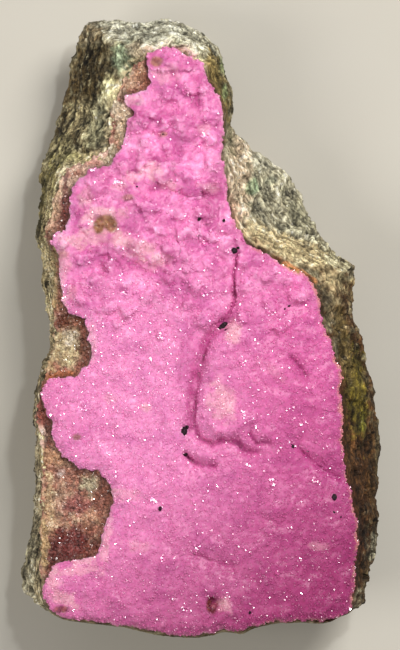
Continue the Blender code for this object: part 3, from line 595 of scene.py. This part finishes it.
def rock_colours(points, hollow, edge, beside):
    """Colours of the host rock, with streaks along its layers.

    edge is the distance from the pink crust's border and beside that from the druse's."""
    coat = Coat(points, (138, 130, 104))
    lie = layer_place(points, edge)
    streak = fractal(lie * (0.5, 0.5, 0.42), 5, 71, 0.75)
    grain = fractal(lie * (2.8, 2.8, 1.1) + 0.3 * points, 3, 72, 0.7)
    patch = fractal(points * 0.22, 3, 73)
    coat.lay((88, 76, 52), 0.7 * rise(-0.1, 0.6, patch))
    coat.lay((176, 170, 148), 0.5 * rise(0.0, 0.6, -patch))
    coat.patches(ROCK_PATCHES, 0.35, 0.55, 100)
    stain = rise(2.4, 0.4, np.abs(beside) + 1.2 * patch) * rise(17, 22, points[:, 2])
    coat.lay((214, 192, 154), 0.7 * stain * rise(0.5, -0.3, grain))
    side = np.maximum(rise(28, 23, points[:, 2]), rise(114, 98, coat.x))
    bold = fractal(points * (1.2, 0.45, 0.35), 3, 75, 0.7)
    coat.colour *= (1 + side * np.clip(bold, -0.8, 1.2))[:, None]
    contrast = 0.65 + 0.4 * rise(130, 80, coat.x)
    coat.colour *= (1 + contrast * np.clip(-streak, -0.9, 1.2))[:, None]
    coat.deepen(0.4, 0.8 * rise(0.15, 0.7, grain + 0.4 * streak))
    sparks = rise(0.3, 0.6, gradient_noise(lie * (1.6, 1.6, 1.9), 74))
    coat.lay((196, 186, 150), 0.55 * sparks * rise(140, 90, coat.x))
    coat.lighten(1.7, 0.008, 0.72, 0.7 * rise(0.25, 0.8, -grain - 0.4 * streak))
    # painted shade: darker in the rock's hollows and crevices
    coat.deepen(0.3, rise(0.02, 0.3, hollow))
    # painted highlight: lighter on the rock's raised places
    coat.lighten(1.5, 0.01, 0.75, 0.4 * rise(0.03, 0.25, -hollow))
    # a dark red-brown band along the crust's border, away from the top end: partly the dark line
    # where crust meets rock, partly painted shade under the crust's edge
    dark_line_and_shade = (1 - rise(0.2, 1.0, edge + 0.4 * grain)) * rise(60, 80, coat.y)
    coat.lay((84, 44, 32), 0.6 * dark_line_and_shade)
    return coat.colour


def brown_colours(points, hollow, edge):
    """Colours of the brown druse, from deep red-brown to tan and cream."""
    coat = Coat(points, (158, 108, 90))
    fine = fractal(points * 0.9, 3, 91, 0.7)
    patch = fractal(points * 0.3, 3, 92)
    coat.lay((206, 180, 152), 0.6 * rise(0.05, 0.5, patch))
    coat.lay((112, 56, 50), 0.6 * rise(0.05, 0.5, -patch))
    coat.patches(BROWN_PATCHES, 0.4, 0.65, 150)
    coat.deepen(0.35, 0.75 * rise(0.1, 0.6, fine))
    coat.lighten(1.8, 0.03, 0.8, 0.65 * rise(0.15, 0.65, -fine))
    # a dark red-brown band along the crust's border, in patches: partly dark druse, partly painted
    # shade under the crust's edge
    dark_line_and_shade = (1 - rise(0.1, 0.95, edge + 0.5 * fine)) * rise(-0.5, 0.2, patch)
    coat.lay((72, 26, 22), 0.75 * dark_line_and_shade)
    # painted shade: near-black brown in the druse's hollows
    coat.lay((52, 22, 18), 0.65 * rise(0.03, 0.3, hollow))
    return coat.colour


def rhomb(facing):
    """A rhomb of edge 1 about its centre, with its axis along z or, if facing, a face along x."""
    lean = math.radians(62.0)
    around = np.arange(3) * math.tau / 3
    arms = np.stack([np.cos(around) * math.sin(lean), np.sin(around) * math.sin(lean),
                     np.full(3, -math.cos(lean))], 1)
    corners = np.array([[k & 1, k >> 1 & 1, k >> 2 & 1] for k in range(8)], float)
    points = (corners - 0.5) @ arms
    quads = [(0, 1, 3, 2), (4, 6, 7, 5), (0, 4, 5, 1), (2, 3, 7, 6), (0, 2, 6, 4), (1, 5, 7, 3)]
    faces = []
    for a, b, c, d in quads:
        middle = points[[a, b, c, d]].mean(axis=0)
        outward = np.cross(points[b] - points[a], points[c] - points[a]) @ middle > 0
        ring = (a, b, c, d) if outward else (d, c, b, a)
        faces += [ring[:3], (ring[0], *ring[2:])]
    if facing:
        way = np.cross(points[4] - points[0], points[5] - points[0])
        way *= np.sign(way[2]) / np.linalg.norm(way)
        level = np.array([-way[1], way[0], 0.0])
        level /= np.linalg.norm(level)
        points = points @ np.stack([way, level, np.cross(way, level)]).T
    return points, np.array(faces)


def crystals(shape, keep, density, size, tint, seed, sink=0.05, lean=0.75, mirrors=False):
    """Rhombs on a shape's surface as (points, faces, colours).

    keep is a share for each face, density a number to the square millimetre, size a function
    that gives each rhomb's edge from its place and a number from 0 to 1. Mirrors turn one of
    their faces about the MIRRORED way."""
    draw = np.random.default_rng(seed)
    across = shape.face_normals()
    area = lengths(across) / 2
    total = np.concatenate([[0.0], np.cumsum(area * keep * density)])
    marks = np.arange(0.5, total[-1], 1.0)
    marks = np.clip(marks + draw.uniform(-0.45, 0.45, len(marks)), 0, total[-1] - 1e-6)
    faces = np.clip(np.searchsorted(total, marks) - 1, 0, len(area) - 1)
    count = len(faces)
    u, v = draw.random(count), draw.random(count)
    over = u + v > 1
    u[over], v[over] = 1 - u[over], 1 - v[over]
    a, b, c = (shape.points[shape.faces[faces, i]] for i in range(3))
    spots = a + u[:, None] * (b - a) + v[:, None] * (c - a)
    normal = across[faces] / np.maximum(2 * area[faces], 1e-9)[:, None]
    axis = units(normal + draw.normal(0, lean / 1.6, (count, 3)))
    side = units(np.cross(axis, draw.normal(0, 1, (count, 3))))
    other = np.cross(axis, side)
    if mirrors:
        side = units(np.array(MIRRORED) + draw.normal(0, MIRROR_SPREAD, (count, 3)))
        other = units(np.cross(side, draw.normal(0, 1, (count, 3))))
        axis = np.cross(side, other)
    base, rings = rhomb(mirrors)
    edge = size(spots, draw.random(count))
    points = base @ np.stack([side, other, axis], 1) * edge[:, None, None]
    points += (spots + normal * ((0.22 - sink) * edge)[:, None])[:, None]
    numbers = (np.arange(count) * 8)[:, None, None] + rings[None]
    weights = np.stack([1 - u - v, u, v], 1)
    colour = (tint[shape.faces[faces]] * weights[:, :, None]).sum(axis=1)
    colour = np.repeat(colour * draw.uniform(0.94, 1.1, (count, 1)), 8, axis=0)
    return points.reshape(-1, 3), numbers.reshape(-1, 3), colour


class Nodes:
    """Short names for the making of a material's nodes."""

    def __init__(self, name):
        self.material = bpy.data.materials.new(name)
        self.material.use_nodes = True
        self.tree = self.material.node_tree
        self.shader = self.tree.nodes["Principled BSDF"]
        self.coordinates = self.add("ShaderNodeTexCoord").outputs["Object"]

    def add(self, kind, values=None, **settings):
        """A node with its settings and the values of its sockets."""
        node = self.tree.nodes.new(kind)
        for key, value in settings.items():
            setattr(node, key, value)
        for socket, value in (values or {}).items():
            node.inputs[socket].default_value = value
        return node

    def link(self, source, target):
        self.tree.links.new(source, target)

    def set(self, socket, value):
        """Gives the shader's socket a number or colour of its own."""
        self.shader.inputs[socket].default_value = value

    def attribute(self, name, output):
        return self.add("ShaderNodeAttribute", attribute_name=name).outputs[output]

    def noise(self, size_mm, detail=3.0, lie=False):
        """Noise whose features are about this large; lie draws them out along the layers."""
        values = {"Scale": 1.0 / (size_mm * (1.0 if lie else MM)), "Detail": detail}
        node = self.add("ShaderNodeTexNoise", values)
        where = self.attribute("lie", "Vector") if lie else self.coordinates
        self.link(where, node.inputs["Vector"])
        return node.outputs["Fac"]

    def cells(self, size_mm):
        """A random colour for each cell of about this size."""
        node = self.add("ShaderNodeTexVoronoi", {"Scale": 1.0 / (size_mm * MM)})
        self.link(self.coordinates, node.inputs["Vector"])
        return node.outputs["Color"]

    def ramp(self, source, stops):
        node = self.add("ShaderNodeValToRGB")
        ramp = node.color_ramp
        for i, (position, colour) in enumerate(stops):
            stop = ramp.elements[i] if i < 2 else ramp.elements.new(position)
            stop.position = position
            stop.color = (*colour, 1.0)
        self.link(source, node.inputs["Fac"])
        return node.outputs["Color"]

    def times(self, first, second, share):
        """The product of two colours, by its share."""
        values = {"Factor": share}
        node = self.add("ShaderNodeMix", values, data_type="RGBA", blend_type="MULTIPLY")
        for source, socket in zip((first, second), (s for s in node.inputs if s.type == "RGBA")):
            self.link(source, socket)
        return next(s for s in node.outputs if s.type == "RGBA")

    def between(self, source, low, high, start=0.3, end=0.7):
        values = {"From Min": start, "From Max": end, "To Min": low, "To Max": high}
        node = self.add("ShaderNodeMapRange", values)
        self.link(source, node.inputs["Value"])
        return node.outputs["Result"]

    def tint(self):
        return self.attribute("tint", "Color")

    def bump(self, source, depth_mm, strength):
        node = self.add("ShaderNodeBump", {"Strength": strength, "Distance": depth_mm * MM})
        self.link(source, node.inputs["Height"])
        self.link(node.outputs["Normal"], self.shader.inputs["Normal"])

    def finish(self, colour, roughness=None, ior=1.5):
        self.link(colour, self.shader.inputs["Base Color"])
        if roughness:
            self.link(roughness, self.shader.inputs["Roughness"])
        self.set("IOR", ior)
        return self.material


def pink_material(name, glassy):
    """Pink dolomite: light passes a little under the surface; few faces are bright mirrors."""
    n = Nodes(name)
    cell = n.cells(0.4)
    speck = n.ramp(cell, [(0.1, (0.88, 0.8, 0.86)), (0.9, (1.1, 1.14, 1.12))])
    cloud = n.ramp(n.noise(1.8), [(0.36, (0.92, 0.82, 0.88)), (0.64, (1.05, 1.1, 1.08))])
    colour = n.times(n.times(n.tint(), speck, 0.7), cloud, 0.5)
    rough = n.between(cell, 0.42, 0.05 if glassy else 0.3, 0.72, 0.95)
    n.set("Specular IOR Level", 0.45 if glassy else 0.26)
    n.set("Subsurface Weight", 0.0 if glassy else 0.5)
    n.set("Subsurface Radius", (1.0, 0.55, 0.85))
    n.set("Subsurface Scale", 0.0013)
    n.bump(n.noise(0.3, 2.0), 0.04 if glassy else 0.08, 0.5)
    return n.finish(colour, rough, 1.62)


def mirror_material(name):
    """Clean, glassy crystal faces."""
    n = Nodes(name)
    cloud = n.ramp(n.noise(1.2), [(0.38, (0.9, 0.84, 0.88)), (0.62, (1.1, 1.12, 1.12))])
    return n.finish(n.times(n.tint(), cloud, 0.85), n.between(n.noise(0.8), 0.03, 0.12), 1.68)


def rock_material(name):
    """Host rock: fine pale and dark specks along thin layers, with a few shiny flakes."""
    n = Nodes(name)
    layers = n.noise(0.4, 4.0, lie=True)
    specks = n.cells(0.34)
    tone = n.ramp(layers, [(0.41, (0.45, 0.42, 0.36)), (0.59, (1.45, 1.46, 1.42))])
    fleck = n.ramp(specks, [(0.12, (0.4, 0.38, 0.34)), (0.35, (0.95, 0.95, 0.92)),
                            (0.88, (1.12, 1.12, 1.1)), (0.95, (2.2, 2.2, 2.1))])
    colour = n.times(n.times(n.tint(), tone, 0.85), fleck, 0.6)
    n.set("Specular IOR Level", 0.25)
    n.bump(layers, 0.25, 0.9)
    return n.finish(colour, n.between(specks, 0.8, 0.25, 0.6, 0.95), 1.52)


def brown_material(name, glassy):
    """Brown druse: dark and pale grains side by side, the crystals' faces shiny."""
    n = Nodes(name)
    cell = n.cells(0.38)
    fleck = n.ramp(cell, [(0.1, (0.5, 0.42, 0.4)), (0.92, (1.5, 1.45, 1.4))])
    n.bump(n.noise(0.35, 3.0), 0.15, 0.6)
    rough = n.between(cell, 0.6, 0.08 if glassy else 0.4, 0.5, 0.92)
    return n.finish(n.times(n.tint(), fleck, 0.75), rough, 1.6)


def grain_material():
    n = Nodes("black_grain")
    n.set("Specular IOR Level", 0.2)
    dark, light = (0.006, 0.003, 0.005), (0.04, 0.016, 0.028)
    colour = n.ramp(n.noise(0.35, 4.0), [(0.35, dark), (0.75, light)])
    n.bump(n.noise(0.3, 3.0), 0.12, 0.8)
    return n.finish(colour, n.between(n.noise(0.5), 0.3, 0.7))


def make_rock(solid, border, druse_border):
    """The host rock, cut finest where it shows."""
    shape = shape_of(solid)
    top = shape.points[:, 2].max()

    def target(at, _):
        covered = (border.at(at) < -1.5) & (at[:, 2] > UNDERSIDE_LEVEL)
        size = 0.66 + 0.5 * rise(22, 12, at[:, 2])
        size = np.where(at[:, 2] < 0.4, 2.6, size)
        return np.where(covered, 3.5, size)

    shape.refine(target)
    free = (border.at(shape.points) > 0) | (shape.points[:, 2] < UNDERSIDE_LEVEL)
    raised = rise(0.2, 1.6, shape.points[:, 2])
    shape.ease(4, free * raised)
    p = shape.points
    edge = np.abs(border.at(p))
    calm = free * raised * rise(0.0, 2.5, edge + 3.0 * (p[:, 2] < 18))
    lie = layer_place(p, edge)
    layers = fractal(lie * (0.6, 0.6, 0.5), 4, 61, 0.65)
    steps = np.abs((layers * 2.2) % 1.0 - 0.5)
    broken = (p + 0.6 * fractal(p * 0.5, 2, 64)[:, None]) * (0.6, 0.6, 1.0)
    chips = chip_relief(broken, 3.6, 62, 0.7) + 0.3 * chip_relief(broken, 1.6, 65, 0.8)
    grit = fractal(lie * (2.4, 2.4, 0.9), 3, 63, 0.6)
    amount = 0.5 * layers + 0.5 * (steps - 0.25) + chips + 0.15 * grit
    shape.push(amount * calm - 0.1 * calm)
    shape.points[:, 2] = np.clip(shape.points[:, 2], 0.0, top + 1.5)
    beside = druse_border.at(shape.points)
    colour = rock_colours(shape.points, shape.hollowness(4), edge, beside)
    return piece("host_rock_surface", shape.points, shape.faces, colour,
                 rock_material("host_rock_look"), True, layer_place(shape.points, edge))


def border_loop(crust):
    """The crust's border seen from above, as points in order."""
    across = crust.face_normals()
    flat = np.abs(across[:, 2]) < 0.05 * lengths(across)
    lying = crust.faces[~flat & (across[:, 2] > 0)]
    runs = (run for face in lying.tolist() for run in zip(face, face[1:] + face[:1]))
    edges = dict.fromkeys(runs)
    following = {a: b for a, b in edges if (b, a) not in edges}
    best = []
    while following:
        start = next(iter(following))
        loop = [start]
        current = following.pop(start)
        while current != start and current in following:
            loop.append(current)
            current = following.pop(current)
        if len(loop) > len(best):
            best = loop
    return crust.points[best][:, :2]


def make_brown(solid, border, outer):
    """The brown druse; border is the crust's and outer the druse's own."""
    shape = shape_of(solid)
    shape.refine(lambda at, _: np.where(border.at(at) < -1.0, 3.5, 0.4))
    shape.ease(3)
    normals = shape.normals()
    p = shape.points
    thinned = rise(2.4, 0.0, -outer.at(p)) * rise(0.0, 1.0, border.at(p))
    shape.points[:, 2] -= 1.15 * thinned * rise(-0.2, 0.4, normals[:, 2])
    for axis in (0, 1):
        fray = fractal(p * (0.4, 0.4, 0.0), 3, 36 + axis, 0.65)
        shape.points[:, axis] += 0.8 * fray * rise(-3.0, -0.6, outer.at(p))
    p = shape.points
    bare = rise(-0.6, 1.2, border.at(p)) * rise(0.1, 0.5, normals[:, 2])
    coarse, _ = druse_relief(p, 1.25, 31, 0.8)
    fine, _ = druse_relief(p, 0.65, 32, 0.8)
    amount = 0.45 * coarse + 0.26 * fine + 0.7 * fractal(p * 0.25, 3, 33) - 0.35
    shape.points = p + normals * (bare * amount)[:, None]
    edge = np.abs(border.at(shape.points))
    colour = brown_colours(shape.points, shape.hollowness(4), edge)
    made = [piece("brown_druse_base", shape.points, shape.faces, colour,
                  brown_material("brown_druse_look", False))]
    shown = (bare[shape.faces].mean(axis=1) > 0.5) * 1.0
    tips = crystals(shape, shown, 4.6, lambda _, chance: 0.24 + 0.42 * chance**2, colour, 35)
    made.append(piece("brown_druse_crystals", *tips, brown_material("brown_crystal_look", True)))
    tips = crystals(shape, shown, 0.6, lambda _, chance: 0.12 + 0.3 * chance**3, colour, 36,
                    mirrors=True)
    made.append(piece("brown_druse_glints", *tips, mirror_material("brown_mirror_look")))
    return made


def bunched(points):
    """1 in the middle of a bunch of mirroring crystals, 0 outside."""
    close = np.zeros(len(points))
    for px, py, radius in BUNCHES:
        away = lengths(points[:, :2] - place(px, py))
        close = np.maximum(close, rise(radius, 0.3 * radius, away))
    return close


def make_crust(solid, border):
    """The pink crust and its crystals; its narrow part is blocky, the rest finely sugary."""
    shape = shape_of(solid)
    across = shape.face_normals()
    down = across[:, 2] < -0.3 * lengths(across)
    below = np.setdiff1d(shape.faces[down], shape.faces[~down])
    shape.marks[below] = 1.0
    shape.refine(lambda at, mark: np.where(mark > 0.4, 4.0, 0.6))
    hidden = shape.marks > 0.4
    shape.ease(4, (~hidden) * 1.0)
    p = shape.points
    normals = shape.normals()
    x, y = pixels(p)
    edge = np.abs(border.at(p))
    level_spots = p * (0.45, 0.45, 0.0)
    for axis in (0, 1):
        fray = fractal(level_spots, 3, 46 + axis, 0.65)
        shape.points[:, axis] += 0.55 * fray * rise(3.0, 0.6, edge)
    p = shape.points
    open_top = (~hidden) * rise(-0.2, 0.3, normals[:, 2])
    blocky = rise(330, 250, y)
    swell = fractal(p * 0.2, 3, 41, 0.6)
    lumps = fractal(p * 0.5, 3, 42, 0.6)
    blocks, block_tint = druse_relief(p + 0.5 * lumps[:, None], 4.6, 43, 1.0)
    small_blocks, small_tint = druse_relief(p + 0.4 * lumps[:, None], 2.2, 48, 1.0)
    sugar, _ = druse_relief(p, 1.3, 44, 0.9)
    amount = (0.35 + 0.3 * blocky) * swell + (0.16 + 0.14 * blocky) * lumps
    amount += blocky * (blocks - 0.25) + 0.14 * blocky * (small_blocks - 0.25)
    amount += (0.06 - 0.04 * blocky) * (sugar - 0.2)
    calm = 0.35 - 0.2 * blocky + (0.65 + 0.2 * blocky) * rise(0.0, 1.5 + blocky, edge)
    amount = amount * calm - 0.8 * crease_shade(p) - 0.25 * rise(1.8, 0.0, edge)
    shape.points = p + normals * (open_top * amount)[:, None]
    colour = pink_colours(shape.points, shape.hollowness(5), edge)
    faceted = blocky * (0.4 * (block_tint - 0.5) + 0.26 * (small_tint - 0.5))
    colour = colour * (1 + faceted[:, None] * (0.7, 1.3, 0.9))
    made = [piece("pink_crust_base", shape.points, shape.faces, colour,
                  pink_material("pink_crust_look", False), True)]
    shown = (~hidden)[shape.faces].all(axis=1) * 1.0
    shown *= normals[shape.faces][:, :, 2].mean(axis=1) > -0.2

    def size(spots, chance):
        return (0.17 + 0.27 * chance**2) * (1 + 0.3 * rise(340, 250, pixels(spots)[1]))

    sparser = 1 - 0.8 * blocky[shape.faces].mean(axis=1)
    for turn in (1, 2):
        tips = crystals(shape, shown * sparser, 1.3, size, colour, 50 + turn, 0.17, 0.5)
        made.append(piece(f"pink_crystals_{turn}", *tips,
                          pink_material(f"pink_crystal_look_{turn}", True)))

    def mirror_size(spots, chance):
        return 0.11 + 0.34 * chance**3 + 0.22 * bunched(spots)

    left = rise(210, 130, x) * rise(260, 300, y) * rise(480, 420, y)
    frequent = 0.4 - 0.2 * blocky + 0.65 * rise(-0.2, 0.8, fractal(p * 0.25, 2, 49))
    frequent += 0.5 * left + 6.0 * bunched(p)
    frequent = frequent[shape.faces].mean(axis=1)
    tips = crystals(shape, shown * frequent, 0.75, mirror_size, colour * 1.1, 55, 0.1, 0.6, True)
    made.append(piece("pink_crystals_3", *tips, mirror_material("pink_mirror_look")))
    return made, shape


def make_grains(crust):
    """Black grains seated in the crust."""
    up = crust.normals()[:, 2] > 0.2
    tops = crust.points[up]
    draw = np.random.default_rng(77)
    base, rings = ball(2)
    all_points, all_faces = [], []
    for px, py, size in GRAINS:
        x, y = place(px, py)
        level = tops[np.argsort(lengths(tops[:, :2] - (x, y)))[:9], 2].mean()
        stretch = draw.uniform(0.75, 1.15, 3) * (1, 1, 0.7)
        grain = base.copy()
        for _ in range(9):
            cut = draw.normal(0, 1, 3)
            cut /= np.linalg.norm(cut)
            beyond = np.maximum(grain @ cut - draw.uniform(0.6, 0.85), 0)
            grain -= beyond[:, None] * cut
        grain = grain * stretch * size / 2 + (x, y, level + 0.1 * size)
        all_faces.append(rings + len(base) * len(all_points))
        all_points.append(grain)
    points, faces = np.concatenate(all_points), np.concatenate(all_faces)
    return piece("black_grains", points, faces, 0.03, grain_material())


def ball(rounds):
    """A unit ball of triangles, from an octahedron cut finer."""
    points = [(1, 0, 0), (-1, 0, 0), (0, 1, 0), (0, -1, 0), (0, 0, 1), (0, 0, -1)]
    faces = [(0, 2, 4), (2, 1, 4), (1, 3, 4), (3, 0, 4),
             (2, 0, 5), (1, 2, 5), (3, 1, 5), (0, 3, 5)]
    shape = Shape(points, faces)
    shape.refine(lambda at, _: np.zeros(len(at)), rounds)
    return units(shape.points), shape.faces


def make_floor():
    mesh = bpy.data.meshes.new("floor")
    half, rows = 1.6, 17  # in metres
    grid = np.linspace(-half, half, rows)
    points = [(x, y, 0.0) for y in grid for x in grid]
    corners = [r * rows + c for r in range(rows - 1) for c in range(rows - 1)]
    mesh.from_pydata(points, [], [(k, k + 1, k + rows + 1, k + rows) for k in corners])
    floor = placed("floor", mesh)
    n = Nodes("floor_paper")
    cloud = n.noise(60.0, 2.0)
    colour = n.ramp(cloud, [(0.25, (0.535, 0.505, 0.44)), (0.8, (0.585, 0.557, 0.495))])
    n.bump(n.noise(0.6, 3.0), 0.03, 0.3)
    n.set("Roughness", 0.85)
    mesh.materials.append(n.finish(colour))


def area_light(name, place_mm, size_mm, power, colour):
    """A round soft light that shines at the middle of the slab."""
    light = bpy.data.lights.new(name, "AREA")
    light.shape = "DISK"
    light.size = size_mm * MM
    light.energy = power
    light.color = colour
    made = placed(name, light)
    made.location = np.array(place_mm, float) * MM
    aim = Vector((0.0, 0.0, 15.0 * MM))
    made.rotation_euler = (aim - made.location).to_track_quat("-Z", "Y").to_euler()


def make_studio():
    scene = bpy.context.scene
    scene.world = bpy.data.worlds.new("studio")
    scene.world.use_nodes = True
    sky = scene.world.node_tree.nodes["Background"]
    sky.inputs["Color"].default_value = (1.0, 0.98, 0.95, 1.0)
    sky.inputs["Strength"].default_value = 0.22
    area_light("key", (400, 500, 760), 460, 7.6, (1.0, 0.975, 0.94))
    area_light("glint", (210, 290, 880), 60, 1.7, (0.93, 0.97, 1.0))
    area_light("fill", (-700, -250, 700), 600, 4.2, (1.0, 0.97, 0.93))
    camera = bpy.data.cameras.new("camera")
    camera.lens = camera.sensor_width * CAMERA_HEIGHT / PICTURE_HEIGHT
    camera.clip_end = 20.0
    made = placed("camera", camera)
    x, y = place(200, 325)
    made.location = (x * MM, y * MM, (CAMERA_HEIGHT + FACE_LEVEL) * MM)
    scene.camera = made
    scene.view_settings.view_transform = "Standard"


def main():
    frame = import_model()
    nodes = frame["nodes"]
    border = Border(border_loop(shape_of(nodes["pink_dolomite_crust"])))
    druse_border = Border(border_loop(shape_of(nodes["brown_druse"])))

    rock = make_rock(nodes["host_rock"], border, druse_border)
    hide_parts("host_rock")
    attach(rock, "root")

    brown = make_brown(nodes["brown_druse"], border, druse_border)
    for item in brown:
        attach(item, "root")
    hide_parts("brown_druse")

    pink, crust = make_crust(nodes["pink_dolomite_crust"], border)
    for item in pink:
        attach(item, "root")
    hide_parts("pink_dolomite_crust")

    grains = make_grains(crust)
    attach(grains, "root")

    make_floor()
    make_studio()


main()
